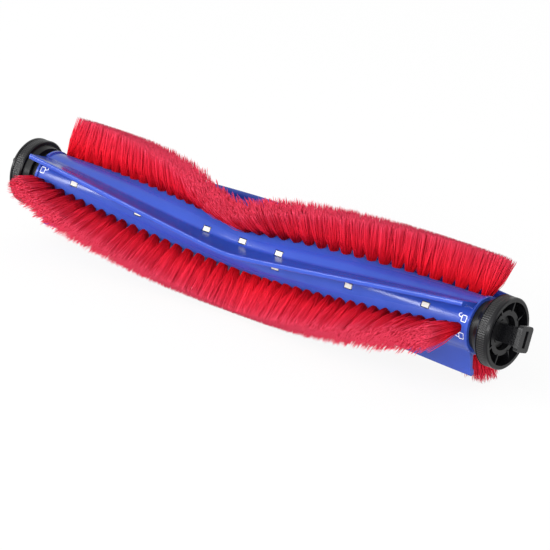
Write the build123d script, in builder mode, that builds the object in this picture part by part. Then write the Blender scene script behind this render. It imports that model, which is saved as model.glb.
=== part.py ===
from build123d import *

import os
from math import cos, radians, sin, sqrt

# A main brush roller for a robot vacuum cleaner, in millimetres.
# X is the roller's axis, with the bearing end at +X and the drive end at -X. The front is -Y and up is +Z.
# The origin is the middle of the axis. Angles round the roller start at the front and rise over the top.

# Roller: a soft sleeve moulded over a rigid core
sleeve_half_length = 78.0
sleeve_radius = 7.6
sleeve_wall = 1.2
sleeve_rim_height = 0.5
sleeve_rim_width = 1.0
core_bore_radius = 3.3
moulded_gap = 0.02
fit_gap = 0.05
key_groove_width = 0.6
key_groove_depth = 0.3
tufts_between_grooves = 3

# Wiper blades: V-shaped along the roller, leaning forward, with a bead along the tip
blade_count = 3
blade_tip_radius = 14.4
blade_end_inset = 0.5
blade_root_wall = 1.3
blade_wall = 0.9
blade_bead_wall = 1.5
blade_bead_length = 1.4
blade_bead_taper = 0.8
blade_root_sink = 1.0
blade_tip_angle_at_vertex = 7.3
blade_tip_sweep = 0.46
blade_tip_rounding = 4.0
blade_root_angle_at_vertex = 16.3
blade_root_sweep = 0.78
blade_root_rounding = 15.0
blade_sections_each_side = 4

# Bristle rows: tufts set in blind holes along a V, one row between each two blades
tuft_pitch = 3.94
tuft_end_inset = 3.0
tuft_row_angle_at_vertex = 56.3
tuft_row_sweep = 0.9
tuft_hole_radius = 1.3
tuft_hole_floor_radius = 4.3
tuft_tip_radius = 19.8
tuft_root_width = 2.2
tuft_merge_height = 4.4
tuft_merge_width = 3.6
tuft_tip_width = 6.4
tuft_side_gap = 0.14

# Flat metal anchors across the floor of each tuft hole
anchor_length = 2.2
anchor_width = 0.4
anchor_height = 0.8

# Core pads that show through windows in the sleeve, below and above each blade
pad_length = 2.3
pad_width = 1.3
window_gap = 0.15
lower_pad_count = 6
lower_pad_pitch = 25.3
lower_pad_angle_at_vertex = -12.7
lower_pad_sweep = 0.6
upper_pad_count = 3
upper_pad_pitch = 13.0
upper_pad_angle = 26.3

# End plugs: a keyed spigot in the core, a neck and a bayonet boss
plug_seat_depth = 1.4
plug_spigot_length = 14.0
plug_spigot_bore_radius = 2.3
plug_floor = 1.8
key_count = 2
key_width = 1.2
key_height = 0.5
key_length = 6.0
neck_length = 2.1
neck_radius = 7.0
boss_radius = 6.4

# Twist-lock bayonet between each plug and its cap
turn_gap = 0.2
axial_gap = 0.1
lug_count = 3
lug_half_angle = 15.0
cap_lug_half_angle = 17.0
cap_lug_length = 0.7
unlock_angle = 40.0
stop_gap_angle = 1.5
fuse_overlap = 0.3

# Caps: a tapered collar, a knurled ring, and a ribbed recess round a hub
collar_length = 1.8
collar_edge_radius = 8.2
collar_radius = 8.8
skirt_bore_radius = 7.6
skirt_depth = 1.7
web_thickness = 0.8
ring_length = 4.1
cap_radius = 10.0
ring_wall = 1.2
ring_edge = 0.3
knurl_depth = 0.2
knurl_inset = 0.4
rim_width = 1.0
hub_radius = 6.3
hub_bore_radius = 4.85
hub_drop = 1.2
barrel_wall = 1.0
barrel_overhang = 0.8
rib_count = 8
rib_thickness = 0.5
rib_drop = 1.0
rib_phase = 22.7

# Drive peg on the drive cap
peg_width = 6.4
peg_corner = 0.8
peg_reach = 5.4
peg_chamfer = 0.5

# Bearing: a flanged bush in the bearing cap, and a T-shaped block whose journal runs in it
journal_radius = 2.0
running_gap = 0.05
bush_wall = 1.35
bush_flange_wall = 0.6
bush_flange_margin = 0.4
washer_wall = 0.4
washer_width = 1.2
block_reach = 5.4
block_tilt = 16.9
neck_block_width = 3.6
neck_block_height = 4.9
head_width = 5.6
head_height = 7.2
head_thickness = 1.4
head_corner = 1.0
slot_width = 1.4
slot_height = 4.7
slot_depth = 1.2
clip_wall = 0.45
clip_groove_depth = 0.45
clip_width = 1.25
clip_mouth = 2.2
clip_land = 0.8

# Places along the axis, as distances from the middle
core_half_length = sleeve_half_length - plug_seat_depth
collar_start = sleeve_half_length + neck_length
ring_start = collar_start + collar_length
cap_face = ring_start + ring_length
web_rear = collar_start + skirt_depth
web_front = web_rear + web_thickness
hub_face = cap_face - hub_drop
barrel_end = collar_start - barrel_overhang
boss_end = web_rear - axial_gap
plug_bore_floor = core_half_length + plug_floor
cap_lug_end = collar_start + cap_lug_length

# Radii that follow from the fits
sleeve_bore_radius = sleeve_radius - sleeve_wall
core_radius = sleeve_bore_radius - moulded_gap
tuft_root_radius = tuft_hole_radius - fit_gap
bush_bore_radius = journal_radius + running_gap
bush_radius = bush_bore_radius + bush_wall
barrel_bore_radius = bush_radius + fit_gap
barrel_radius = barrel_bore_radius + barrel_wall
plug_bore_radius = barrel_radius + turn_gap
cap_lug_radius = boss_radius + turn_gap
boss_lug_radius = skirt_bore_radius - turn_gap
ring_bore_radius = cap_radius - ring_wall
sides = {"drive": -1, "bearing": 1}


def rounded_v(distance, rounding):
    """A V with a rounded vertex: 0 at the middle, then rising almost in step with the distance."""
    return sqrt(distance**2 + rounding**2) - rounding


def blade_tip_angle(station):
    return blade_tip_angle_at_vertex + blade_tip_sweep * rounded_v(station, blade_tip_rounding)


def blade_root_angle(station):
    return blade_root_angle_at_vertex + blade_root_sweep * rounded_v(station, blade_root_rounding)


def tuft_angle(station):
    return tuft_row_angle_at_vertex + tuft_row_sweep * abs(station)


def polar(radius, angle):
    return Vector(radius * cos(radians(angle)), radius * sin(radians(angle)))


def cross_plane(station):
    """The plane across the roller at a station. Its own X is the front and its own Y is up."""
    return Plane(origin=(station, 0, 0), x_dir=(0, -1, 0), z_dir=(-1, 0, 0))


def end_plane(side, distance):
    """The plane across one end of the roller, facing outwards."""
    return Plane(origin=(side * distance, 0, 0), x_dir=(0, side, 0), z_dir=(side, 0, 0))


def profile_plane(side):
    """The plane for turned profiles at one end: outward distance along the axis, then radius."""
    return Plane(origin=(0, 0, 0), x_dir=(side, 0, 0), z_dir=(0, -side, 0))


def radial_seat(station, angle, radius):
    """A place on the roller whose own Z points straight out from the axis and whose own X is the axis."""
    across = polar(1, angle)
    place = Plane(
        origin=(station, -radius * across.X, radius * across.Y),
        x_dir=(1, 0, 0),
        z_dir=(0, -across.X, across.Y),
    )
    return place.location


def ring_sectors(inner, outer, half_angle, centre_angle):
    """Equal sectors of a ring, one for each bayonet lug, drawn in the open sketch."""
    with PolarLocations(0, lug_count, start_angle=centre_angle - half_angle):
        Circle(outer, arc_size=2 * half_angle, align=None)
    Circle(inner, mode=Mode.SUBTRACT)


# Places of the tufts and pads
sector_angle = 360 / blade_count
row_half_length = sleeve_half_length - tuft_end_inset
tufts_each_side = int(row_half_length // tuft_pitch)
tuft_stations = [tuft_pitch * number for number in range(-tufts_each_side, tufts_each_side + 1)]
lower_pad_stations = [lower_pad_pitch * (n - (lower_pad_count - 1) / 2) for n in range(lower_pad_count)]
upper_pad_stations = [upper_pad_pitch * (n - (upper_pad_count - 1) / 2) for n in range(upper_pad_count)]
groove_numbers = range(tufts_between_grooves // 2, tufts_each_side, tufts_between_grooves)
groove_stations = [side * tuft_pitch * (n + 0.5) for side in sides.values() for n in groove_numbers]


def tuft_seats(row, radius):
    return [radial_seat(x, tuft_angle(x) + row * sector_angle, radius) for x in tuft_stations]


def pad_seats(radius):
    seats = []
    for row in range(blade_count):
        turn = row * sector_angle
        for x in lower_pad_stations:
            angle = lower_pad_angle_at_vertex + lower_pad_sweep * abs(x)
            seats.append(radial_seat(x, angle + turn, radius))
        for x in upper_pad_stations:
            seats.append(radial_seat(x, upper_pad_angle + turn, radius))
    return seats


all_tuft_seats = [seat for row in range(blade_count) for seat in tuft_seats(row, tuft_hole_floor_radius)]
hole_length = sleeve_radius + sleeve_rim_height - tuft_hole_floor_radius
blade_half_length = sleeve_half_length - blade_end_inset

# One wiper blade, lofted along the roller through leaning sections
with BuildPart() as blade:
    for number in range(-blade_sections_each_side, blade_sections_each_side + 1):
        share = number / blade_sections_each_side
        station = blade_half_length * share * sqrt(abs(share))
        tip = polar(blade_tip_radius, blade_tip_angle(station))
        root = polar(sleeve_radius, blade_root_angle(station))
        along = (tip - root).normalized()
        under = Vector(along.Y, -along.X)
        sunk_root = root - along * blade_root_sink
        with BuildSketch(cross_plane(station)):
            Polygon(
                sunk_root,
                tip,
                tip + under * blade_bead_wall,
                tip - along * blade_bead_length + under * blade_bead_wall,
                tip - along * (blade_bead_length + blade_bead_taper) + under * blade_wall,
                sunk_root + under * blade_root_wall,
            )
    loft(ruled=True)

# The sleeve: tube, end rims, blades, ring keys in the core's grooves, tuft holes and pad windows
with BuildPart() as finned_sleeve:
    with BuildSketch(Plane.YZ.offset(-sleeve_half_length)):
        Circle(sleeve_radius)
    extrude(amount=2 * sleeve_half_length)
    for side in sides.values():
        with BuildSketch(end_plane(side, sleeve_half_length - sleeve_rim_width)):
            Circle(sleeve_radius + sleeve_rim_height)
        extrude(amount=sleeve_rim_width)
    with Locations(*[Location((0, 0, 0), (-row * sector_angle, 0, 0)) for row in range(blade_count)]):
        add(blade.part)
    with BuildSketch(Plane.YZ.offset(-sleeve_half_length)):
        Circle(sleeve_bore_radius)
    extrude(amount=2 * sleeve_half_length, mode=Mode.SUBTRACT)
    for station in groove_stations:
        with BuildSketch(Plane.YZ.offset(station)):
            Circle(sleeve_bore_radius + sleeve_wall / 2)
            Circle(core_radius - key_groove_depth + moulded_gap, mode=Mode.SUBTRACT)
        extrude(amount=key_groove_width / 2 - moulded_gap, both=True)
    with Locations(*all_tuft_seats):
        Cylinder(
            tuft_hole_radius,
            hole_length,
            align=(Align.CENTER, Align.CENTER, Align.MIN),
            mode=Mode.SUBTRACT,
        )
    with Locations(*pad_seats(sleeve_radius)):
        Box(pad_length + 2 * window_gap, pad_width + 2 * window_gap, 3 * sleeve_wall, mode=Mode.SUBTRACT)

# The core: tube, ring grooves, window pads, tuft holes, and a keyed socket for the plug at each end
with BuildPart() as core_tube:
    with BuildSketch(Plane.YZ.offset(-core_half_length)):
        Circle(core_radius)
    extrude(amount=2 * core_half_length)
    for station in groove_stations:
        with BuildSketch(Plane.YZ.offset(station)):
            Circle(core_radius)
            Circle(core_radius - key_groove_depth, mode=Mode.SUBTRACT)
        extrude(amount=key_groove_width / 2, both=True, mode=Mode.SUBTRACT)
    with Locations(*pad_seats(sleeve_radius)):
        Box(pad_length, pad_width, 2 * sleeve_wall, align=(Align.CENTER, Align.CENTER, Align.MAX))
    with Locations(*all_tuft_seats):
        Cylinder(
            tuft_hole_radius,
            hole_length,
            align=(Align.CENTER, Align.CENTER, Align.MIN),
            mode=Mode.SUBTRACT,
        )
    with BuildSketch(Plane.YZ.offset(-core_half_length)):
        Circle(core_bore_radius)
    extrude(amount=2 * core_half_length, mode=Mode.SUBTRACT)
    for side in sides.values():
        with BuildSketch(end_plane(side, core_half_length - key_length)):
            with PolarLocations(core_bore_radius, key_count):
                Rectangle(2 * (key_height + fit_gap), key_width + 2 * fit_gap)
        extrude(amount=key_length, mode=Mode.SUBTRACT)

# One tuft: a round root in its hole, opening into a flat-sided fan that meets its neighbours
tuft_root_length = sleeve_radius - tuft_hole_floor_radius - anchor_height
tuft_merge_level = tuft_root_length + tuft_merge_height
tuft_height = tuft_tip_radius - tuft_hole_floor_radius - anchor_height
tuft_row_width = tuft_pitch - tuft_side_gap


def fan_outline(merge_width, tip_width):
    """A tuft's fan seen from one side: narrow at the sleeve, wider where the tufts merge, widest at the tip."""
    right_side = [
        (tuft_root_width / 2, tuft_root_length),
        (merge_width / 2, tuft_merge_level),
        (tip_width / 2, tuft_height),
    ]
    left_side = [(-across, height) for across, height in reversed(right_side)]
    return right_side + left_side


with BuildPart() as tuft:
    with BuildSketch(Plane.YZ):
        Polygon(*fan_outline(tuft_merge_width, tuft_tip_width))
    extrude(amount=tuft_row_width / 2, both=True)
    with BuildSketch(Plane.XZ):
        Polygon(*fan_outline(tuft_row_width, tuft_row_width))
    extrude(amount=tuft_tip_width / 2, both=True, mode=Mode.INTERSECT)
    with BuildSketch():
        Circle(tuft_root_radius)
    extrude(amount=tuft_root_length)


def bristle_row(row):
    with BuildPart() as tufts:
        with Locations(*tuft_seats(row, tuft_hole_floor_radius + anchor_height)):
            add(tuft.part)
    return tufts.part


def tuft_anchors(row):
    with BuildPart() as anchors:
        with Locations(*tuft_seats(row, tuft_hole_floor_radius)):
            Box(
                anchor_length,
                anchor_width,
                anchor_height,
                align=(Align.CENTER, Align.CENTER, Align.MIN),
            )
    return anchors.part


def end_plug(side):
    """A turned plug with a keyed spigot, a neck and a hollow boss with bayonet lugs."""
    spigot_radius = core_bore_radius - fit_gap
    with BuildPart() as plug:
        with BuildSketch(profile_plane(side)):
            Polygon(
                (core_half_length - plug_spigot_length, plug_spigot_bore_radius),
                (core_half_length - plug_spigot_length, spigot_radius),
                (core_half_length, spigot_radius),
                (core_half_length, sleeve_bore_radius - fit_gap),
                (sleeve_half_length, sleeve_bore_radius - fit_gap),
                (sleeve_half_length, neck_radius),
                (collar_start - axial_gap, neck_radius),
                (collar_start - axial_gap, boss_radius),
                (boss_end, boss_radius),
                (boss_end, plug_bore_radius),
                (plug_bore_floor, plug_bore_radius),
                (plug_bore_floor, plug_spigot_bore_radius),
            )
        revolve(axis=Axis.X)
        with BuildSketch(end_plane(side, cap_lug_end + axial_gap)):
            ring_sectors(boss_radius - fuse_overlap, boss_lug_radius, lug_half_angle, 0)
        extrude(amount=boss_end - cap_lug_end - axial_gap)
        with BuildSketch(end_plane(side, core_half_length - key_length)):
            with PolarLocations(core_bore_radius, key_count):
                Rectangle(2 * key_height, key_width)
            Circle(plug_spigot_bore_radius + fuse_overlap, mode=Mode.SUBTRACT)
        extrude(amount=key_length)
    return plug.part


def cap_outline():
    """The turned outline that both caps share, from the skirt's bore round to the hub's face."""
    knurl_radius = cap_radius - knurl_depth
    return [
        (web_rear, skirt_bore_radius),
        (collar_start, skirt_bore_radius),
        (collar_start, collar_edge_radius),
        (ring_start, collar_radius),
        (ring_start, cap_radius - ring_edge),
        (ring_start + ring_edge, cap_radius),
        (ring_start + knurl_inset, cap_radius),
        (ring_start + knurl_inset, knurl_radius),
        (cap_face - rim_width, knurl_radius),
        (cap_face - rim_width, cap_radius),
        (cap_face - ring_edge, cap_radius),
        (cap_face, cap_radius - ring_edge),
        (cap_face, ring_bore_radius),
        (web_front, ring_bore_radius),
        (web_front, hub_radius),
        (hub_face, hub_radius),
    ]


def cap_lugs_and_ribs(side):
    """Bayonet lugs and turn stops inside the skirt, and ribs across the recess, on the open cap."""
    pitch_angle = 360 / lug_count
    stop_half_angle = (pitch_angle - unlock_angle) / 2 - lug_half_angle - stop_gap_angle
    lug_root_radius = skirt_bore_radius + fuse_overlap
    with BuildSketch(end_plane(side, collar_start)) as lugs:
        ring_sectors(cap_lug_radius, lug_root_radius, cap_lug_half_angle, 0)
    extrude(lugs.sketch, amount=cap_lug_length)
    with BuildSketch(end_plane(side, collar_start)) as stops:
        ring_sectors(cap_lug_radius, lug_root_radius, stop_half_angle, (unlock_angle + pitch_angle) / 2)
    extrude(stops.sketch, amount=skirt_depth)
    with BuildSketch(end_plane(side, web_front)) as ribs:
        with PolarLocations((hub_radius + ring_bore_radius) / 2, rib_count, start_angle=rib_phase):
            Rectangle(ring_bore_radius - hub_radius + 2 * fuse_overlap, rib_thickness)
    extrude(ribs.sketch, amount=cap_face - rib_drop - web_front)


# The bearing cap, with a barrel for the bush through its hub
with BuildPart() as bearing_cap:
    with BuildSketch(profile_plane(sides["bearing"])):
        Polygon(
            *cap_outline(),
            (hub_face, hub_bore_radius),
            (web_front, hub_bore_radius),
            (web_front, barrel_bore_radius),
            (barrel_end, barrel_bore_radius),
            (barrel_end, barrel_radius),
            (web_rear, barrel_radius),
        )
    revolve(axis=Axis.X)
    cap_lugs_and_ribs(sides["bearing"])

# The drive cap, with a closed hub, a square peg, and a hollow barrel that centres it in its plug
with BuildPart() as drive_cap:
    with BuildSketch(profile_plane(sides["drive"])):
        Polygon(
            *cap_outline(),
            (hub_face, 0),
            (web_rear, 0),
            (web_rear, barrel_bore_radius),
            (barrel_end, barrel_bore_radius),
            (barrel_end, barrel_radius),
            (web_rear, barrel_radius),
        )
    revolve(axis=Axis.X)
    cap_lugs_and_ribs(sides["drive"])
    with BuildSketch(end_plane(sides["drive"], hub_face)):
        RectangleRounded(peg_width, peg_width, peg_corner)
    extrude(amount=cap_face + peg_reach - hub_face)
    chamfer(drive_cap.faces().sort_by(Axis.X)[0].edges(), length=peg_chamfer)

# The bush: a plain bearing whose flange sits on the hub's floor
bush_face = web_front + bush_flange_wall
with BuildPart() as bearing_bush:
    with BuildSketch(profile_plane(sides["bearing"])):
        Polygon(
            (barrel_end, bush_bore_radius),
            (barrel_end, bush_radius),
            (web_front, bush_radius),
            (web_front, hub_bore_radius - bush_flange_margin),
            (bush_face, hub_bore_radius - bush_flange_margin),
            (bush_face, bush_bore_radius),
        )
    revolve(axis=Axis.X)

# The thrust washer, between the bush and the block's shoulder
washer_rear = bush_face + axial_gap
shoulder = washer_rear + washer_wall
with BuildPart() as thrust_washer:
    with BuildSketch(end_plane(sides["bearing"], washer_rear)):
        Circle(bush_bore_radius + washer_width)
        Circle(bush_bore_radius, mode=Mode.SUBTRACT)
    extrude(amount=washer_wall)

# The bearing block: a round journal, a flat-sided neck and a slotted head
clip_front = barrel_end - axial_gap
clip_rear = clip_front - clip_wall
groove_radius = journal_radius - clip_groove_depth
journal_end = clip_rear - fit_gap - clip_land
block_face = cap_face + block_reach
with BuildPart() as bearing_block:
    with BuildSketch(profile_plane(sides["bearing"])):
        Polygon(
            (journal_end, 0),
            (journal_end, journal_radius),
            (clip_rear - fit_gap, journal_radius),
            (clip_rear - fit_gap, groove_radius),
            (clip_front + fit_gap, groove_radius),
            (clip_front + fit_gap, journal_radius),
            (shoulder, journal_radius),
            (shoulder, 0),
        )
    revolve(axis=Axis.X)
    with BuildSketch(end_plane(sides["bearing"], shoulder)):
        Rectangle(neck_block_width, neck_block_height, rotation=-block_tilt)
    extrude(amount=block_face - shoulder)
    with BuildSketch(end_plane(sides["bearing"], block_face - head_thickness)):
        RectangleRounded(head_width, head_height, head_corner, rotation=-block_tilt)
    extrude(amount=head_thickness)
    with BuildSketch(end_plane(sides["bearing"], block_face)):
        Rectangle(slot_width, slot_height, rotation=-block_tilt)
    extrude(amount=-slot_depth, mode=Mode.SUBTRACT)

# The retaining clip in the journal's groove
clip_radius = groove_radius + fit_gap + clip_width
with BuildPart() as retaining_clip:
    with BuildSketch(end_plane(sides["bearing"], clip_rear)):
        Circle(clip_radius)
        Circle(groove_radius + fit_gap, mode=Mode.SUBTRACT)
        with Locations((0, -clip_radius)):
            Rectangle(clip_mouth, 2 * clip_radius, mode=Mode.SUBTRACT)
    extrude(amount=clip_wall)

pieces = {
    "finned_sleeve": finned_sleeve.part,
    "core_tube": core_tube.part,
    "bearing_cap": bearing_cap.part,
    "drive_cap": drive_cap.part,
    "bearing_bush": bearing_bush.part,
    "thrust_washer": thrust_washer.part,
    "bearing_block": bearing_block.part,
    "retaining_clip": retaining_clip.part,
}
for row in range(blade_count):
    pieces[f"bristle_row_{row + 1}"] = bristle_row(row)
    pieces[f"tuft_anchors_{row + 1}"] = tuft_anchors(row)
for end, side in sides.items():
    pieces[f"{end}_plug"] = end_plug(side)

os.makedirs("parts", exist_ok=True)
for name, piece in pieces.items():
    piece.label = name
    export_step(piece, f"parts/{name}.step")
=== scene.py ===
import math

import bmesh
import bpy
import numpy as np
from mathutils import Matrix, Vector


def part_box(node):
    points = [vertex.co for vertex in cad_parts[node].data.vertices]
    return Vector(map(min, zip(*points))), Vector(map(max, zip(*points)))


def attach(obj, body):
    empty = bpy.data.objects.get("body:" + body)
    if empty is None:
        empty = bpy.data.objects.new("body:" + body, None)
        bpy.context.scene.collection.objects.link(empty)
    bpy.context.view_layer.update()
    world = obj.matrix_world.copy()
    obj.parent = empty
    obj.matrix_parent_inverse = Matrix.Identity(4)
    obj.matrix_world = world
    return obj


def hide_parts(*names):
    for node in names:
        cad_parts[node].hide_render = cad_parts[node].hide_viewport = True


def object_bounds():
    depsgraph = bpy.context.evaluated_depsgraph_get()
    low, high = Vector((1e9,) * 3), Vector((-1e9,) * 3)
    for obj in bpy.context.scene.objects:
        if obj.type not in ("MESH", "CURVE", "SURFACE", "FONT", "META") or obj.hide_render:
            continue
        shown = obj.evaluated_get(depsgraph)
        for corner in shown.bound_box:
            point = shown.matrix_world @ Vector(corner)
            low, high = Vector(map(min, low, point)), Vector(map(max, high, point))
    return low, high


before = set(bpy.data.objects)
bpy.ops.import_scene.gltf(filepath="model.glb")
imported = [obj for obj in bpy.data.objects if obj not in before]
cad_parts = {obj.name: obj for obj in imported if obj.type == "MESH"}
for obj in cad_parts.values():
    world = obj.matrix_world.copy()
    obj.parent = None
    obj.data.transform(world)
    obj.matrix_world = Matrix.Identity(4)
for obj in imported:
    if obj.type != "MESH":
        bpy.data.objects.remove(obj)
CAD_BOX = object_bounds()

# A robot vacuum's main brush: blue finned sleeve, red bristle rows and black twist-lock caps.
# X is the roller's axis, -Y the front and +Z up. Lengths are written in millimetres and turned to metres
# where a mesh is made. Angles are in degrees; those round the roller start at the front and rise over the top.
MM = 0.001
SECTOR = 120.0
ROWS = 3

# Sleeve and blades
SLEEVE_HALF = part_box("finned_sleeve")[1].x / MM
SLEEVE_RADIUS = 7.6
SLEEVE_BORE = 6.4
RIM_RADIUS = 8.1
RIM_WIDTH = 1.0
RIM_INNER_EDGE = SLEEVE_HALF - RIM_WIDTH
RIM_CHAMFER = 0.15
BLADE_END_GAP = 0.5
BLADE_HALF = SLEEVE_HALF - BLADE_END_GAP
BLADE_TIP_RADIUS = 14.4
BLADE_ROOT_WALL = 1.3
BLADE_WALL = 0.9
BEAD_WALL = 1.5
BEAD_LENGTH = 1.4
BEAD_TAPER = 0.8
ROOT_FILLET = 0.8
BEAD_FOOT_ROUND, BEAD_BACK_ROUND, BEAD_FRONT_ROUND, TIP_ROUND = 0.35, 0.3, 0.55, 0.5
STATION_STEP = 1.4
ARC_POINTS, BLADE_FOOT_POINTS = 14, 6
SLEEVE_SMOOTH_ANGLE = 40

# Angles of blades, rows and pads at the roller's middle, slopes in degrees for each millimetre along the
# roller, and how far along the roller the bend of a blade is rounded
BLADE_TIP_ANGLE, BLADE_TIP_SLOPE, BLADE_TIP_ROUNDING = 7.3, 0.46, 4.0
BLADE_ROOT_ANGLE, BLADE_ROOT_SLOPE, BLADE_ROOT_ROUNDING = 16.3, 0.78, 15.0
TUFT_ANGLE, TUFT_SLOPE = 56.3, 0.9
LOWER_PAD_ANGLE, LOWER_PAD_SLOPE = -12.7, 0.6
UPPER_PAD_ANGLE = 26.3

# Matt strips of the sleeve along the tuft rows, which fade out at MATT_END half widths from the row
MATT_HALF_WIDTH = 2.2
MATT_END = 1.5
MATT_ROUGHNESS = 0.9

# Windows in the sleeve over the core's pads
PAD_LENGTH, PAD_WIDTH, WINDOW_GAP = 2.3, 1.3, 0.26
LOWER_PADS, LOWER_PAD_PITCH = 6, 25.3
UPPER_PADS, UPPER_PAD_PITCH = 3, 13.0
# GAP_FLOOR_RADIUS and PAD_FACE_RADIUS bound the painted shade on the core in the gaps round the pads
GAP_FLOOR_RADIUS, PAD_FACE_RADIUS = 6.9, 7.4
CUTTER_FLOOR, CUTTER_TOP = SLEEVE_BORE - 0.6, SLEEVE_RADIUS + 1.0

# Bristle tufts. A fibre has three corners at each level but the last, which is its point.
TUFT_PITCH = 3.94
TUFTS_EACH_SIDE = 19
TUFT_ROOT_RADIUS = 1.2
TUFT_FOOT_RADIUS = 7.3
TUFT_TIP_RADIUS = 19.8
TUFT_TIP_HALF_LENGTH = 3.1
TUFT_TIP_HALF_WIDTH = 3.3
BRISTLES_PER_TUFT = 310
BRISTLE_RADIUS = 0.095
BRISTLE_LENGTH = TUFT_TIP_RADIUS - TUFT_FOOT_RADIUS
FIBRE_CORNERS = 3
FIBRE_LEVELS, FIBRE_WIDTHS = (0.0, 0.42, 0.92, 1.0), (1.0, 0.95, 0.85, 0.0)
FIRST_ROW_SEED = 40
BAKE_MARGIN = 0.02

# How the fibres of a tuft differ: scatters in millimetres, the rest as shares and factors
CLUMPS, CLUMP_SCATTER_ALONG, CLUMP_SCATTER_ASIDE = 9, 0.32, 0.38
TIP_SCATTER_ALONG, TIP_SCATTER_ASIDE, REACH_SCATTER = 0.3, 0.35, 0.2
STRAY_SHARE, STRAY_FACTOR = 0.04, 2.5
FAN_MIDDLE, FAN_EDGE = 0.8, 0.35
BOW_ALONG, BOW_ASIDE = 0.24, 0.12
BOW_SCATTER_ALONG, BOW_SCATTER_ASIDE = 0.16, 0.2
CLUMP_SHADE = 0.35

# How far the tufts lean at their tips, one value for each row: all along it, in its bend and at its ends
ROW_LEANS, ROW_LEAN_START, ROW_LEAN_FULL = (0.0, 0.0, 1.9), -71.0, -63.0
VERTEX_LEANS, VERTEX_LEAN_PLACE, VERTEX_LEAN_REACH = (3.4, 1.0, -0.9), -7.0, 16.0
END_LEANS_LEFT, END_LEANS_RIGHT = (1.8, 0.0, 0.2), (0.2, 0.0, -2.6)
END_LEAN_TUFTS, END_LEAN_POWER, END_LEAN_FAN = 2, 1.5, 0.6

# Knurled bands
CAP_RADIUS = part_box("bearing_cap")[1].z / MM
CAP_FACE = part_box("bearing_cap")[1].x / MM
KNURL_START, KNURL_END = CAP_FACE - 3.7, CAP_FACE - 1.0
KNURL_RIDGES, POINTS_PER_RIDGE, KNURL_LEVELS = 98, 4, 13
KNURL_HEIGHT = 0.17
KNURL_INSET = 0.015
KNURL_FLOOR_RADIUS = CAP_RADIUS - 0.195
KNURL_ZIGZAGS, ZIGZAG_WIDTH = 2.5, 1.1
KNURL_SMOOTH_ANGLE = 60

# Padlock marks: places along the roller are from the mark's own place, and rise towards the cap
MARK_PLACE = SLEEVE_HALF - 2.55
MARK_TOP_RADIUS, MARK_FLOOR_RADIUS = SLEEVE_RADIUS + 0.035, SLEEVE_RADIUS - 0.05
MARK_STROKE = 0.2
LOCK_MIDDLE, LOCK_HALF_LENGTH, LOCK_HALF_WIDTH, LOCK_CORNER = 0.55, 0.72, 0.88, 0.18
SHACKLE_FOOT, SHACKLE_BEND, SHACKLE_LENGTH, SHACKLE_HALF_WIDTH = -0.2, -0.55, 0.75, 0.5
SHACKLE_STEPS = 8
OPEN_ASIDE, OPEN_LIFT = 0.75, 0.5
OPEN_MARK_RIGHT_ANGLE, OPEN_MARK_LEFT_ANGLE, CLOSED_MARK_ANGLE = 24.0, 32.0, -13.0

# Rounded edges of the pieces that come from the frame
CAP_EDGE, PLUG_EDGE, BLOCK_EDGE = 0.08, 0.06, 0.12
EDGE_ANGLE = 40

# Moulded materials: noise scales for each metre, how far gloss strays from its middle, how strong the grain
# is, and how much more blue there is in a black
MOTTLE_SCALE, GLOSS_SCALE = 90.0, 260.0
NOISE_ROUGHNESS = 0.55
GLOSS_UNDER, GLOSS_OVER = 0.06, 0.08
GRAIN_STRENGTH = 0.5
BLACK_TINT = 0.001

# Stage: half the floor's side in metres, the share of plain white in what the camera sees of the floor, and
# the world's strength as a light and as it is seen
FLOOR_HALF = 3.0
FLOOR_SHOWN = 0.9
WORLD_LIGHT, WORLD_SHOWN = 0.54, 1.0

# Camera, from the photograph: direction, distance, lens, the point at the picture's middle, and the turn
# about the roller's axis between the photograph and the brush as it lies
CAMERA_AZIMUTH, CAMERA_ELEVATION = 39.067, 25.089
CAMERA_DISTANCE = 839.6
CAMERA_LENS, SENSOR_WIDTH = 195.4, 36.0
AIM_RIGHT, AIM_UP = 5.2, -7.73
CAMERA_TURN = 7.7


# Places round the roller

def rounded_v(distance, rounding):
    return math.sqrt(distance**2 + rounding**2) - rounding


def blade_tip_angle(x):
    return BLADE_TIP_ANGLE + BLADE_TIP_SLOPE * rounded_v(x, BLADE_TIP_ROUNDING)


def blade_root_angle(x):
    return BLADE_ROOT_ANGLE + BLADE_ROOT_SLOPE * rounded_v(x, BLADE_ROOT_ROUNDING)


def tuft_angle(x):
    return TUFT_ANGLE + TUFT_SLOPE * abs(x)


def lower_pad_angle(x):
    return LOWER_PAD_ANGLE + LOWER_PAD_SLOPE * abs(x)


def turned(radius, angle):
    """A point across the roller as a complex number: real to the front, imaginary up."""
    return radius * np.exp(1j * np.radians(angle))


def placed(x, point):
    """The place in the scene, in metres, of a point across the roller at station x."""
    return (x * MM, -point.real * MM, point.imag * MM)


# Mesh helpers

def finished_mesh(name, shape):
    """A mesh of the shape that was built up, with its faces turned outwards."""
    bmesh.ops.recalc_face_normals(shape, faces=shape.faces)
    mesh = bpy.data.meshes.new(name)
    shape.to_mesh(mesh)
    shape.free()
    return mesh


def skin(shape, first, second):
    """Faces between two closed rings of points."""
    for n in range(len(first)):
        after = (n + 1) % len(first)
        shape.faces.new((first[n], first[after], second[after], second[n]))


def smooth(mesh, angle):
    mesh.polygons.foreach_set("use_smooth", np.ones(len(mesh.polygons), bool))
    mesh.set_sharp_from_angle(angle=math.radians(angle))


def point_attribute(mesh, name, values):
    layer = mesh.attributes.new(name, "FLOAT", "POINT")
    layer.data.foreach_set("value", values.astype(np.float32))


def new_object(name, mesh, body):
    obj = bpy.data.objects.new(name, mesh)
    bpy.context.scene.collection.objects.link(obj)
    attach(obj, body)
    return obj


# Node helpers

def new_material(name):
    mat = bpy.data.materials.new(name)
    mat.use_nodes = True
    nodes = mat.node_tree.nodes
    return mat, nodes, mat.node_tree.links, nodes["Principled BSDF"]


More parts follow.
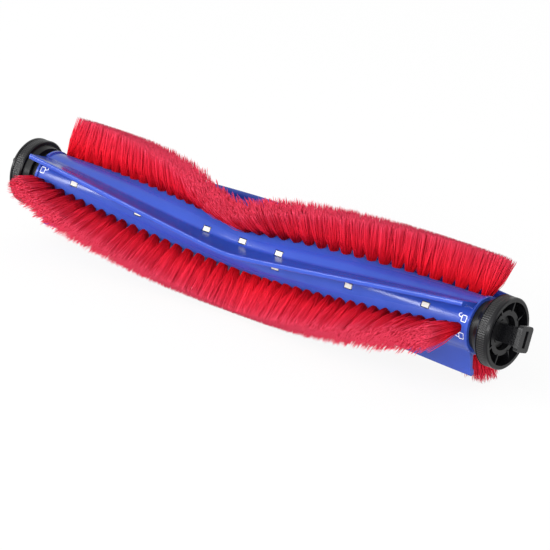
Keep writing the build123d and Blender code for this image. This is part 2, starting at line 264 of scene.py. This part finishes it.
def noise(nodes, links, coords, scale, detail=4.0):
    node = nodes.new("ShaderNodeTexNoise")
    node.inputs["Scale"].default_value = scale
    node.inputs["Detail"].default_value = detail
    node.inputs["Roughness"].default_value = NOISE_ROUGHNESS
    links.new(coords, node.inputs["Vector"])
    return node.outputs["Fac"]


def attribute(nodes, name):
    node = nodes.new("ShaderNodeAttribute")
    node.attribute_name = name
    return node.outputs["Fac"]


def ramp(nodes, links, factor, stops):
    node = nodes.new("ShaderNodeValToRGB")
    elements = node.color_ramp.elements
    while len(elements) < len(stops):
        elements.new(0.5)
    for element, (place, colour) in zip(elements, stops):
        element.position = place
        element.color = (*colour, 1.0)
    links.new(factor, node.inputs["Fac"])
    return node.outputs["Color"]


def multiplied(nodes, links, first, second):
    """The product of two colours."""
    node = nodes.new("ShaderNodeMix")
    node.data_type = "RGBA"
    node.blend_type = "MULTIPLY"
    node.inputs["Factor"].default_value = 1.0
    links.new(first, node.inputs["A"])
    links.new(second, node.inputs["B"])
    return node.outputs["Result"]


def spread(nodes, links, factor, low, high):
    """A value from low to high as the factor runs from 0 to 1."""
    node = nodes.new("ShaderNodeMapRange")
    node.inputs["To Min"].default_value = low
    node.inputs["To Max"].default_value = high
    links.new(factor, node.inputs["Value"])
    return node.outputs["Result"]


def bump(nodes, links, height, distance, strength):
    node = nodes.new("ShaderNodeBump")
    node.inputs["Distance"].default_value = distance
    node.inputs["Strength"].default_value = strength
    links.new(height, node.inputs["Height"])
    return node.outputs["Normal"]


def shown_rays(nodes, links, share):
    """The share for rays that show a thing to the camera, straight or by gloss or glass, and 0 for others."""
    path = nodes.new("ShaderNodeLightPath")
    total = path.outputs["Is Camera Ray"]
    for other in ("Is Glossy Ray", "Is Transmission Ray"):
        add = nodes.new("ShaderNodeMath")
        add.operation = "ADD"
        add.use_clamp = True
        links.new(total, add.inputs[0])
        links.new(path.outputs[other], add.inputs[1])
        total = add.outputs[0]
    times = nodes.new("ShaderNodeMath")
    times.operation = "MULTIPLY"
    times.inputs[1].default_value = share
    links.new(total, times.inputs[0])
    return times.outputs[0]


# Materials

def moulded(name, dark, light, roughness, grain, grain_height, specular=0.5):
    """A moulded plastic: mottled colour, uneven gloss and a fine grain, from the object's own coordinates."""
    mat, nodes, links, shader = new_material(name)
    coords = nodes.new("ShaderNodeTexCoord").outputs["Object"]
    mottle = noise(nodes, links, coords, MOTTLE_SCALE)
    links.new(ramp(nodes, links, mottle, [(0.3, dark), (0.7, light)]), shader.inputs["Base Color"])
    gloss = noise(nodes, links, coords, GLOSS_SCALE)
    uneven = spread(nodes, links, gloss, roughness - GLOSS_UNDER, roughness + GLOSS_OVER)
    links.new(uneven, shader.inputs["Roughness"])
    fine = noise(nodes, links, coords, grain, detail=2.0)
    links.new(bump(nodes, links, fine, grain_height * MM, GRAIN_STRENGTH), shader.inputs["Normal"])
    shader.inputs["Specular IOR Level"].default_value = specular
    return mat


def toned_by_radius(mat, low, high, stops):
    """Multiplies a material's colour by tones that run from one distance from the roller's axis to another."""
    nodes, links = mat.node_tree.nodes, mat.node_tree.links
    base = nodes["Principled BSDF"].inputs["Base Color"]
    across = nodes.new("ShaderNodeVectorMath")
    across.operation = "MULTIPLY"
    across.inputs[1].default_value = (0.0, 1.0, 1.0)
    links.new(nodes.new("ShaderNodeTexCoord").outputs["Object"], across.inputs[0])
    radius = nodes.new("ShaderNodeVectorMath")
    radius.operation = "LENGTH"
    links.new(across.outputs["Vector"], radius.inputs[0])
    depth = nodes.new("ShaderNodeMapRange")
    depth.inputs["From Min"].default_value = low * MM
    depth.inputs["From Max"].default_value = high * MM
    links.new(radius.outputs["Value"], depth.inputs["Value"])
    tone = ramp(nodes, links, depth.outputs["Result"], stops)
    links.new(multiplied(nodes, links, base.links[0].from_socket, tone), base)
    return mat


def sleeve_material():
    """Soft blue moulding, satin on its open faces and matt along the tuft rows."""
    mat = moulded(
        "blue_sleeve",
        dark=(0.021, 0.058, 0.36),
        light=(0.026, 0.066, 0.40),
        roughness=0.18,
        grain=2200.0,
        grain_height=0.003,
        specular=0.36,
    )
    nodes, links = mat.node_tree.nodes, mat.node_tree.links
    roughness = nodes["Principled BSDF"].inputs["Roughness"]
    mix = nodes.new("ShaderNodeMix")
    mix.inputs["B"].default_value = MATT_ROUGHNESS
    links.new(attribute(nodes, "matt"), mix.inputs["Factor"])
    links.new(roughness.links[0].from_socket, mix.inputs["A"])
    links.new(mix.outputs["Result"], roughness)
    return mat


def core_material():
    """White moulding with painted shade in the gaps round the pads, darker from the pads' faces down to the
    gaps' floor.
    """
    mat = moulded(
        "white_core",
        dark=(0.58, 0.57, 0.51),
        light=(0.66, 0.65, 0.60),
        roughness=0.45,
        grain=1800.0,
        grain_height=0.01,
        specular=0.3,
    )
    # Painted shade: the core's colour is multiplied down to a dark blue-grey towards the floor of the gaps
    painted_gap_shade = [(0.0, (0.12, 0.13, 0.18)), (1.0, (1, 1, 1))]
    return toned_by_radius(mat, GAP_FLOOR_RADIUS, PAD_FACE_RADIUS, painted_gap_shade)


def knurl_material():
    """Black moulding, lighter than the caps' black, with painted highlights on the ridges and painted shade in
    the valleys.
    """
    mat = moulded(
        "knurl_black",
        dark=(0.022, 0.022, 0.024),
        light=(0.034, 0.034, 0.037),
        roughness=0.3,
        grain=1600.0,
        grain_height=0.004,
        specular=0.3,
    )
    # Painted light: the valleys are darkened to a few percent as painted shade, and the ridges keep a black
    # lighter than the caps' as painted highlights
    painted_knurl_light = [(0.25, (0.04, 0.04, 0.04)), (0.85, (1, 1, 1))]
    return toned_by_radius(mat, CAP_RADIUS - KNURL_HEIGHT, CAP_RADIUS, painted_knurl_light)


def black_material(name, dark, light, roughness, grain, grain_height, specular=0.5):
    """Black moulding, very slightly blue, between two levels of grey."""
    shades = ((level, level, level + BLACK_TINT) for level in (dark, light))
    return moulded(name, *shades, roughness, grain, grain_height, specular)


def metal(name, dark, light, roughness):
    mat = moulded(name, dark, light, roughness, grain=1200.0, grain_height=0.006)
    mat.node_tree.nodes["Principled BSDF"].inputs["Metallic"].default_value = 1.0
    return mat


def bristle_material():
    """Nylon filament: deep red at the root and paler at the tip, each fibre a little different."""
    mat, nodes, links, shader = new_material("bristle_nylon")
    shade = attribute(nodes, "shade")
    length_tones = [
        (0.0, (0.84, 0.006, 0.012)),
        (0.30, (0.84, 0.012, 0.030)),
        (0.75, (0.80, 0.030, 0.072)),
        (1.0, (0.76, 0.065, 0.130)),
    ]
    body = ramp(nodes, links, attribute(nodes, "along"), length_tones)
    tone = ramp(nodes, links, shade, [(0.0, (0.86, 0.7, 0.7)), (0.6, (1, 1, 1))])
    links.new(multiplied(nodes, links, body, tone), shader.inputs["Base Color"])
    links.new(spread(nodes, links, shade, 0.62, 0.50), shader.inputs["Roughness"])
    shader.inputs["Specular IOR Level"].default_value = 0.06
    return mat


# The sleeve, swept along the roller as one outline with three blades

def rounded_corner(before, corner, after, size, count=5):
    """A corner of an outline, rounded over a distance of size along both its sides."""
    first = corner + (before - corner) / abs(before - corner) * size
    last = corner + (after - corner) / abs(after - corner) * size
    t = np.linspace(0, 1, count)
    return (1 - t) ** 2 * first + 2 * t * (1 - t) * corner + t**2 * last


def blade_outline(x, radius, turn):
    """One blade's outline from its lower root to its upper root, both rounded into the sleeve."""
    tip = turned(BLADE_TIP_RADIUS, blade_tip_angle(x) + turn)
    root = turned(SLEEVE_RADIUS, blade_root_angle(x) + turn)
    along = (tip - root) / abs(tip - root)
    under = -1j * along
    sunk = root + under * BLADE_ROOT_WALL
    lean = (sunk * along.conjugate()).real
    low_root = sunk + along * (math.sqrt(lean**2 - abs(sunk) ** 2 + radius**2) - lean)
    bead_foot = tip - along * (BEAD_LENGTH + BEAD_TAPER) + under * BLADE_WALL
    bead_back = tip - along * BEAD_LENGTH + under * BEAD_WALL
    bead_front = tip + under * BEAD_WALL
    fillet_turn = np.exp(1j * ROOT_FILLET / radius)
    sleeve_below = low_root / abs(low_root) * radius / fillet_turn
    sleeve_above = root / abs(root) * radius * fillet_turn
    quarters = np.linspace(0.25, 0.75, 3)
    return np.concatenate(
        [
            rounded_corner(sleeve_below, low_root, bead_foot, ROOT_FILLET),
            low_root + (bead_foot - low_root) * quarters,
            rounded_corner(low_root, bead_foot, bead_back, BEAD_FOOT_ROUND, count=3),
            rounded_corner(bead_foot, bead_back, bead_front, BEAD_BACK_ROUND, count=4),
            rounded_corner(bead_back, bead_front, tip, BEAD_FRONT_ROUND),
            rounded_corner(bead_front, tip, root, TIP_ROUND),
            tip + (root - tip) * quarters,
            rounded_corner(tip, root, sleeve_above, ROOT_FILLET),
        ]
    )


def arc_between(start, end, radius, count):
    """Points on the sleeve from one outline point on to the next, without those two."""
    first = np.degrees(np.angle(start))
    last = first + (np.degrees(np.angle(end)) - first) % 360
    return turned(radius, np.linspace(first, last, count + 2)[1:-1])


def sleeve_radius_at(x):
    share = min(max((abs(x) - RIM_INNER_EDGE) / RIM_CHAMFER, 0.0), 1.0)
    return SLEEVE_RADIUS + (RIM_RADIUS - SLEEVE_RADIUS) * share


def sleeve_mesh():
    steps = int(RIM_INNER_EDGE // STATION_STEP)
    half = [*np.linspace(0, RIM_INNER_EDGE, steps + 1), RIM_INNER_EDGE + RIM_CHAMFER, BLADE_HALF]
    stations = [-x for x in reversed(half[1:])] + half
    shape = bmesh.new()

    def add(x, points):
        return [shape.verts.new(placed(x, p)) for p in points]

    rings = []
    for x in stations:
        radius = sleeve_radius_at(x)
        blades = [blade_outline(x, radius, SECTOR * k) for k in range(ROWS)]
        next_blades = blades[1:] + blades[:1]
        arcs = [arc_between(a[-1], b[0], radius, ARC_POINTS) for a, b in zip(blades, next_blades)]
        rings.append([(add(x, blade), add(x, arc)) for blade, arc in zip(blades, arcs)])
    outlines = [[v for blade, arc in ring for v in (*blade, *arc)] for ring in rings]
    for first, second in zip(outlines, outlines[1:]):
        skin(shape, first, second)
    bore_edges = []
    for ring, x in ((rings[0], stations[0]), (rings[-1], stations[-1])):
        side = math.copysign(1, x)
        outer = []
        for blade, arc in ring:
            low, high = (complex(-v.co.y, v.co.z) / MM for v in (blade[0], blade[-1]))
            under = add(x, arc_between(low, high, sleeve_radius_at(x), BLADE_FOOT_POINTS))
            shape.faces.new([*blade, *reversed(under)])
            outer += [blade[0], *under, blade[-1], *arc]
        across = [complex(-v.co.y, v.co.z) / MM for v in outer]
        end_rings = (
            (SLEEVE_HALF - RIM_CHAMFER, RIM_RADIUS),
            (SLEEVE_HALF, RIM_RADIUS - RIM_CHAMFER),
            (SLEEVE_HALF, SLEEVE_BORE),
        )
        for place, size in end_rings:
            inner = add(side * place, [p / abs(p) * size for p in across])
            skin(shape, outer, inner)
            outer = inner
        bore_edges += [shape.edges.get(pair) for pair in zip(outer, outer[1:] + outer[:1])]
    # The two ends differ in where their points lie round the bore, so the bore is bridged as one strip.
    bmesh.ops.bridge_loops(shape, edges=bore_edges)
    return finished_mesh("finned_sleeve_skin", shape)


def window_places():
    """Station and angle of every window."""
    places = []
    for k in range(ROWS):
        for n in range(LOWER_PADS):
            x = LOWER_PAD_PITCH * (n - (LOWER_PADS - 1) / 2)
            places.append((x, lower_pad_angle(x) + SECTOR * k))
        for n in range(UPPER_PADS):
            x = UPPER_PAD_PITCH * (n - (UPPER_PADS - 1) / 2)
            places.append((x, UPPER_PAD_ANGLE + SECTOR * k))
    return places


def window_cutter():
    """Boxes that cut the windows through the sleeve's wall."""
    shape = bmesh.new()
    long_half = PAD_LENGTH / 2 + WINDOW_GAP
    wide_half = PAD_WIDTH / 2 + WINDOW_GAP
    box_faces = ((0, 1, 2, 3), (7, 6, 5, 4), (0, 4, 5, 1), (1, 5, 6, 2), (2, 6, 7, 3), (3, 7, 4, 0))
    for x, angle in window_places():
        out = turned(1, angle)
        side = 1j * out
        corners = []
        for height in (CUTTER_FLOOR, CUTTER_TOP):
            for dx, ds in ((-1, -1), (1, -1), (1, 1), (-1, 1)):
                point = out * height + side * ds * wide_half
                corners.append(shape.verts.new(placed(x + dx * long_half, point)))
        for face in box_faces:
            shape.faces.new([corners[n] for n in face])
    return bpy.data.objects.new("window_cutter", finished_mesh("window_cutter", shape))


def mark_matt_rows(mesh):
    """Marks how matt the sleeve is at each point, by its distance from the nearest tuft row."""
    places = np.empty(3 * len(mesh.vertices))
    mesh.vertices.foreach_get("co", places)
    x, y, z = places.reshape(-1, 3).T / MM
    from_row = (np.degrees(np.arctan2(z, -y)) - tuft_angle(x) + SECTOR / 2) % SECTOR - SECTOR / 2
    distance = np.abs(np.radians(from_row)) * SLEEVE_RADIUS
    matt = np.clip(MATT_END - distance / MATT_HALF_WIDTH, 0, 1)
    matt *= np.hypot(y, z) < RIM_RADIUS
    point_attribute(mesh, "matt", matt)


def make_sleeve(material):
    sleeve = bpy.data.objects.new("finned_sleeve_skin", sleeve_mesh())
    cutter = window_cutter()
    collection = bpy.context.scene.collection
    collection.objects.link(sleeve)
    collection.objects.link(cutter)
    cut = sleeve.modifiers.new("windows", "BOOLEAN")
    cut.operation = "DIFFERENCE"
    cut.solver = "EXACT"
    cut.object = cutter
    bpy.context.view_layer.update()
    evaluated = sleeve.evaluated_get(bpy.context.evaluated_depsgraph_get())
    shaped = bpy.data.meshes.new_from_object(evaluated)
    sleeve.modifiers.clear()
    sleeve.data = shaped
    bpy.data.objects.remove(cutter)
    smooth(shaped, SLEEVE_SMOOTH_ANGLE)
    mark_matt_rows(shaped)
    shaped.materials.clear()
    shaped.materials.append(material)
    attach(sleeve, "roller")
    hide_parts("finned_sleeve")


# The bristle rows: tapered three-sided fibres that fan out of each tuft's hole

def end_lean(station, row):
    """How far the last tufts of a row splay past its end."""
    past = abs(station) / TUFT_PITCH - (TUFTS_EACH_SIDE - END_LEAN_TUFTS)
    most = END_LEANS_RIGHT[row] if station > 0 else END_LEANS_LEFT[row]
    return most * max(past / END_LEAN_TUFTS, 0.0) ** END_LEAN_POWER


def droop(station, row):
    """How far a row's tufts lean down round the roller, which differs in the bend of its V."""
    in_bend = math.exp(-(((station - VERTEX_LEAN_PLACE) / VERTEX_LEAN_REACH) ** 2))
    past_end = (station - ROW_LEAN_START) / (ROW_LEAN_FULL - ROW_LEAN_START)
    return ROW_LEANS[row] * min(max(past_end, 0.0), 1.0) + VERTEX_LEANS[row] * in_bend


def tuft_fibres(rng, x, angle, lean, fall):
    """Foot, tip and bow of every fibre in one tuft, along and across the roller, with a shade for each.

    lean moves the tips along the roller, and fall moves them down round it.
    """
    count = BRISTLES_PER_TUFT
    spoke = np.sqrt(rng.random(count))
    spin = rng.random(count) * 2 * np.pi
    u, v = spoke * np.cos(spin), spoke * np.sin(spin)
    clump = rng.integers(0, CLUMPS, count)
    clump_x = rng.normal(0, CLUMP_SCATTER_ALONG, CLUMPS)[clump]
    clump_side = rng.normal(0, CLUMP_SCATTER_ASIDE, CLUMPS)[clump]
    clump_shade = rng.random(CLUMPS)[clump]
    out = turned(1, angle)
    side = 1j * out
    foot_x = x + TUFT_ROOT_RADIUS * u
    foot = out * TUFT_FOOT_RADIUS + side * TUFT_ROOT_RADIUS * v
    fan_u = u * (FAN_MIDDLE + FAN_EDGE * np.abs(u))
    fan_v = v * (FAN_MIDDLE + FAN_EDGE * np.abs(v))
    stray = np.where(rng.random(count) < STRAY_SHARE, STRAY_FACTOR, 1.0)
    splay = lean * (1 + END_LEAN_FAN * u)
    spread_x = TUFT_TIP_HALF_LENGTH * fan_u + clump_x + rng.normal(0, TIP_SCATTER_ALONG, count) * stray
    tip_x = x + (spread_x + splay)
    aside = TUFT_TIP_HALF_WIDTH * fan_v + clump_side + rng.normal(0, TIP_SCATTER_ASIDE, count) * stray
    aside -= fall
    shortened = BRISTLE_LENGTH - np.sqrt(BRISTLE_LENGTH**2 - splay**2)
    reach = TUFT_TIP_RADIUS - np.abs(rng.normal(0, REACH_SCATTER, count)) - shortened
    tip = out * np.sqrt(reach**2 - aside**2) + side * aside
    bow_x = BOW_ALONG * (tip_x - foot_x) + rng.normal(0, BOW_SCATTER_ALONG, count)
    bow = side * (BOW_ASIDE * aside + rng.normal(0, BOW_SCATTER_ASIDE, count))
    shade = CLUMP_SHADE * clump_shade + (1 - CLUMP_SHADE) * rng.random(count)
    return foot_x, foot, tip_x, tip, bow_x, bow, shade


def fibre_triangles():
    """One fibre's triangles: its foot, the sides between its rings and the point at its tip."""
    corners = range(FIBRE_CORNERS)
    last_ring = FIBRE_CORNERS * (len(FIBRE_LEVELS) - 2)
    point = last_ring + FIBRE_CORNERS
    triangles = [tuple(reversed(corners))]
    for ring in range(0, last_ring, FIBRE_CORNERS):
        above = ring + FIBRE_CORNERS
        for corner in corners:
            after = (corner + 1) % FIBRE_CORNERS
            triangles.append((ring + corner, ring + after, above + after))
            triangles.append((ring + corner, above + after, above + corner))
    for corner in corners:
        triangles.append((last_ring + corner, last_ring + (corner + 1) % FIBRE_CORNERS, point))
    return np.array(triangles)


def triangle_mesh(name, vertices, triangles):
    mesh = bpy.data.meshes.new(name)
    mesh.vertices.add(len(vertices))
    mesh.vertices.foreach_set("co", vertices.astype(np.float32).ravel())
    mesh.loops.add(triangles.size)
    mesh.loops.foreach_set("vertex_index", triangles.astype(np.int32).ravel())
    mesh.polygons.add(len(triangles))
    mesh.polygons.foreach_set("loop_start", np.arange(0, triangles.size, 3, dtype=np.int32))
    mesh.update(calc_edges=True)
    mesh.polygons.foreach_set("use_smooth", np.ones(len(triangles), bool))
    return mesh


def in_space(x, point):
    """Rows of x, y and z for arrays of stations and points across the roller."""
    return np.stack([x, -point.real, point.imag], 1)


def bristle_row(row, material):
    rng = np.random.default_rng(FIRST_ROW_SEED + row)
    tufts = []
    for n in range(-TUFTS_EACH_SIDE, TUFTS_EACH_SIDE + 1):
        x = TUFT_PITCH * n
        angle = tuft_angle(x) + SECTOR * row
        tufts.append(tuft_fibres(rng, x, angle, end_lean(x, row), droop(x, row)))
    foot_x, foot, tip_x, tip, bow_x, bow, shade = (np.concatenate(part) for part in zip(*tufts))
    start, end, sway = in_space(foot_x, foot), in_space(tip_x, tip), in_space(bow_x, bow)
    direction = end - start
    direction /= np.linalg.norm(direction, axis=1, keepdims=True)
    across = np.cross(direction, [1.0, 0.0, 0.0])
    across /= np.linalg.norm(across, axis=1, keepdims=True)
    other = np.cross(direction, across)
    turns = rng.random(len(start)) * 2 * np.pi
    points, heights = [], []
    for level, width in zip(FIBRE_LEVELS, FIBRE_WIDTHS):
        middle = start + (end - start) * level + sway * (4 * level * (1 - level))
        for corner in range(FIBRE_CORNERS if width else 1):
            angle = turns + corner * 2 * np.pi / FIBRE_CORNERS
            offset = across * np.cos(angle)[:, None] + other * np.sin(angle)[:, None]
            points.append(middle + offset * BRISTLE_RADIUS * width)
            heights.append(np.full(len(start), level))
    per_fibre = len(points)
    vertices = np.stack(points, 1).reshape(-1, 3) * MM
    height = np.stack(heights, 1).reshape(-1)
    fibre_shade = np.repeat(shade, per_fibre)
    first = np.arange(len(start))[:, None, None] * per_fibre
    triangles = (first + fibre_triangles()[None]).reshape(-1, 3)
    mesh = triangle_mesh(f"bristles_{row + 1}", vertices, triangles)
    point_attribute(mesh, "along", height)
    point_attribute(mesh, "shade", fibre_shade)
    bake_map = mesh.uv_layers.new(name="OFBake")
    bake_places = np.stack([fibre_shade, height], 1)[triangles.ravel()]
    bake_places = BAKE_MARGIN + (1 - 2 * BAKE_MARGIN) * bake_places
    bake_map.uv.foreach_set("vector", bake_places.astype(np.float32).ravel())
    mesh.materials.append(material)
    obj = new_object(f"bristles_{row + 1}", mesh, "roller")
    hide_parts(f"bristle_row_{row + 1}")


# Knurled bands in the caps' shallow grooves

def knurl_band(name, side, body, material):
    """A closed ring of zigzag ridges round a cap."""
    around = KNURL_RIDGES * POINTS_PER_RIDGE
    angles = np.linspace(0, 360, around, endpoint=False)
    shape = bmesh.new()

    def add(x, radius):
        return [shape.verts.new(placed(side * x, p)) for p in turned(1, angles) * radius]

    rings = []
    for level in range(KNURL_LEVELS):
        share = level / (KNURL_LEVELS - 1)
        x = KNURL_START + (KNURL_END - KNURL_START) * share
        shift = abs((share * KNURL_ZIGZAGS) % 1 - 0.5) * ZIGZAG_WIDTH
        wave = np.abs(((np.arange(around) / POINTS_PER_RIDGE + shift) % 1) - 0.5) * 2
        edge = 0.0 if level in (0, KNURL_LEVELS - 1) else 1.0
        rings.append(add(x, CAP_RADIUS - KNURL_HEIGHT - KNURL_INSET + KNURL_HEIGHT * wave * edge))
    for x in (KNURL_END, KNURL_START):
        rings.append(add(x, KNURL_FLOOR_RADIUS))
    for first, second in zip(rings, rings[1:] + rings[:1]):
        skin(shape, first, second)
    mesh = finished_mesh(name, shape)
    smooth(mesh, KNURL_SMOOTH_ANGLE)
    mesh.materials.append(material)
    new_object(name, mesh, body)


# Padlock marks that show which way the caps lock

def ribbon(shape, line, closed, place):
    """A thin raised stroke along a line on the sleeve. place turns a point of the line into the scene's."""
    count = len(line)
    line = np.array(line, float)
    rows = []
    for n in range(count):
        before = line[(n - 1) % count] if closed or n else line[n]
        after = line[(n + 1) % count] if closed or n < count - 1 else line[n]
        along = after - before
        along /= np.linalg.norm(along)
        aside = np.array([-along[1], along[0]]) * MARK_STROKE / 2
        left, right = line[n] - aside, line[n] + aside
        floor = [place(left, MARK_FLOOR_RADIUS), place(right, MARK_FLOOR_RADIUS)]
        top = [place(right, MARK_TOP_RADIUS), place(left, MARK_TOP_RADIUS)]
        rows.append([shape.verts.new(corner) for corner in floor + top])
    for first, second in zip(rows, rows[1:] + rows[:1] if closed else rows[1:]):
        skin(shape, first, second)
    if not closed:
        shape.faces.new(rows[0])
        shape.faces.new(list(reversed(rows[-1])))


def lock_outline():
    """The padlock's body: a rectangle with rounded corners."""
    outline = []
    for along, aside, start in ((1, 1, 0), (-1, 1, 90), (-1, -1, 180), (1, -1, 270)):
        for step in (0, 45, 90):
            turn = math.radians(start + step)
            x = LOCK_MIDDLE + along * (LOCK_HALF_LENGTH - LOCK_CORNER) + LOCK_CORNER * math.cos(turn)
            y = aside * (LOCK_HALF_WIDTH - LOCK_CORNER) + LOCK_CORNER * math.sin(turn)
            outline.append((x, y))
    return outline


def shackle_line(opened):
    """The padlock's shackle, which stands aside with one foot in the air when it is open."""
    aside = OPEN_ASIDE if opened else 0.0
    lift = OPEN_LIFT if opened else 0.0
    line = [(SHACKLE_FOOT - lift, aside + SHACKLE_HALF_WIDTH)]
    for step in range(SHACKLE_STEPS + 1):
        turn = math.radians(90 + step * 180 / SHACKLE_STEPS)
        x = SHACKLE_BEND + SHACKLE_LENGTH * math.cos(turn)
        line.append((x, aside + SHACKLE_HALF_WIDTH * math.sin(turn)))
    line.append((SHACKLE_FOOT, aside - SHACKLE_HALF_WIDTH))
    return line


def padlock_mark(name, side, angle, opened, material):
    """A padlock outline printed on the sleeve near an end, with its shackle away from the cap."""
    def place(point, radius):
        around = angle + math.degrees(point[1] / SLEEVE_RADIUS)
        return placed(side * (MARK_PLACE + point[0]), turned(radius, around))

    shape = bmesh.new()
    ribbon(shape, lock_outline(), True, place)
    ribbon(shape, shackle_line(opened), False, place)
    mesh = finished_mesh(name, shape)
    mesh.materials.append(material)
    new_object(name, mesh, "roller")


# Pieces that come from the frame

def finish_node(name, material, edge=0.0):
    """Gives a carried-over piece its material and, where it is moulded, slightly rounded edges."""
    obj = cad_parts[name]
    obj.data.materials.clear()
    obj.data.materials.append(material)
    if edge:
        rounding = obj.modifiers.new("edges", "BEVEL")
        rounding.width = edge * MM
        rounding.segments = 2
        rounding.limit_method = "ANGLE"
        rounding.angle_limit = math.radians(EDGE_ANGLE)


# Stage: floor, world, lights and camera

def floor_material():
    """White ground that takes shadows, but looks almost plain white to the camera."""
    mat, nodes, links, shader = new_material("floor_white")
    shader.inputs["Base Color"].default_value = (0.92, 0.92, 0.92, 1)
    shader.inputs["Roughness"].default_value = 0.9
    shader.inputs["Specular IOR Level"].default_value = 0.1
    glow = nodes.new("ShaderNodeEmission")
    glow.inputs["Strength"].default_value = 1.0
    mix = nodes.new("ShaderNodeMixShader")
    links.new(shown_rays(nodes, links, FLOOR_SHOWN), mix.inputs["Fac"])
    links.new(shader.outputs["BSDF"], mix.inputs[1])
    links.new(glow.outputs["Emission"], mix.inputs[2])
    links.new(mix.outputs["Shader"], nodes["Material Output"].inputs["Surface"])
    return mat


def add_floor(level):
    corners = [(x * FLOOR_HALF, y * FLOOR_HALF, level) for x, y in ((-1, -1), (1, -1), (1, 1), (-1, 1))]
    mesh = bpy.data.meshes.new("floor")
    mesh.from_pydata(corners, [], [(0, 1, 2, 3)])
    mesh.materials.append(floor_material())
    floor = bpy.data.objects.new("floor", mesh)
    bpy.context.scene.collection.objects.link(floor)


def add_world():
    world = bpy.data.worlds.new("studio")
    bpy.context.scene.world = world
    world.use_nodes = True
    nodes, links = world.node_tree.nodes, world.node_tree.links
    back = nodes["Background"]
    back.inputs["Color"].default_value = (1, 1, 1, 1)
    strength = spread(nodes, links, shown_rays(nodes, links, 1.0), WORLD_LIGHT, WORLD_SHOWN)
    links.new(strength, back.inputs["Strength"])


def area_light(name, place, size, power):
    """A rectangular lamp that faces the brush, with its place and size in metres."""
    data = bpy.data.lights.new(name, "AREA")
    data.shape = "RECTANGLE"
    data.size, data.size_y = size
    data.energy = power
    lamp = bpy.data.objects.new(name, data)
    lamp.location = place
    lamp.rotation_mode = "QUATERNION"
    lamp.rotation_quaternion = (-Vector(place)).to_track_quat("-Z", "Y")
    bpy.context.scene.collection.objects.link(lamp)


def add_camera():
    azimuth, elevation = math.radians(CAMERA_AZIMUTH), math.radians(CAMERA_ELEVATION)
    level = math.cos(elevation)
    back = Vector((math.sin(azimuth) * level, -math.cos(azimuth) * level, math.sin(elevation)))
    right = Vector((math.cos(azimuth), math.sin(azimuth), 0))
    turn = Matrix.Rotation(math.radians(CAMERA_TURN), 3, "X")
    back, right = turn @ back, turn @ right
    up = back.cross(right)
    data = bpy.data.cameras.new("camera")
    data.sensor_width = SENSOR_WIDTH
    data.lens = CAMERA_LENS
    data.clip_start, data.clip_end = 0.01, 20.0
    cam = bpy.data.objects.new("camera", data)
    cam.location = back * CAMERA_DISTANCE * MM
    aim = (right * AIM_RIGHT + up * AIM_UP) * MM
    sight = (cam.location - aim).normalized()
    across = up.cross(sight).normalized()
    cam.rotation_mode = "QUATERNION"
    cam.rotation_quaternion = Matrix((across, sight.cross(across), sight)).transposed().to_quaternion()
    bpy.context.scene.collection.objects.link(cam)
    bpy.context.scene.camera = cam


blue = sleeve_material()
white = core_material()
print_white = moulded(
    "print_white", (0.80, 0.82, 0.90), (0.92, 0.93, 0.97), roughness=0.5, grain=1500.0, grain_height=0.004
)
cap_black = black_material(
    "cap_black", 0.003, 0.006, roughness=0.30, grain=1600.0, grain_height=0.010, specular=0.22
)
plug_black = black_material(
    "plug_black", 0.003, 0.006, roughness=0.42, grain=1400.0, grain_height=0.012, specular=0.25
)
block_black = black_material(
    "block_black", 0.004, 0.008, roughness=0.25, grain=1500.0, grain_height=0.008, specular=0.3
)
bush_black = black_material("bush_black", 0.006, 0.012, roughness=0.38, grain=1700.0, grain_height=0.008)
knurl_black = knurl_material()
nylon_red = bristle_material()
steel = metal("spring_steel", (0.45, 0.45, 0.47), (0.6, 0.6, 0.62), roughness=0.32)
brass = metal("anchor_brass", (0.58, 0.42, 0.18), (0.74, 0.56, 0.28), roughness=0.35)

make_sleeve(blue)
for row in range(ROWS):
    bristle_row(row, nylon_red)
knurl_band("knurl_bearing", 1, "bearing_end", knurl_black)
knurl_band("knurl_drive", -1, "drive_end", knurl_black)
padlock_mark("padlock_open_right", 1, OPEN_MARK_RIGHT_ANGLE, True, print_white)
padlock_mark("padlock_closed_right", 1, CLOSED_MARK_ANGLE, False, print_white)
padlock_mark("padlock_open_left", -1, OPEN_MARK_LEFT_ANGLE, True, print_white)
padlock_mark("padlock_closed_left", -1, CLOSED_MARK_ANGLE, False, print_white)

finish_node("core_tube", white)
for cap in ("bearing_cap", "drive_cap"):
    finish_node(cap, cap_black, CAP_EDGE)
for plug in ("bearing_plug", "drive_plug"):
    finish_node(plug, plug_black, PLUG_EDGE)
finish_node("bearing_block", block_black, BLOCK_EDGE)
finish_node("bearing_bush", bush_black)
finish_node("thrust_washer", plug_black)
finish_node("retaining_clip", steel)
for row in range(ROWS):
    finish_node(f"tuft_anchors_{row + 1}", brass)

add_floor(CAD_BOX[0].z)
add_world()
area_light("key", place=(-0.10, -0.70, 0.75), size=(0.7, 0.7), power=3.0)
area_light("fill", place=(0.60, -0.75, 0.25), size=(0.8, 0.6), power=7.0)
area_light("strip", place=(-0.57, -0.762, 0.305), size=(1.2, 0.15), power=9.0)
area_light("back", place=(0.1, 0.8, 0.6), size=(0.8, 0.4), power=2.0)
add_camera()
bpy.context.scene.view_settings.view_transform = "Standard"
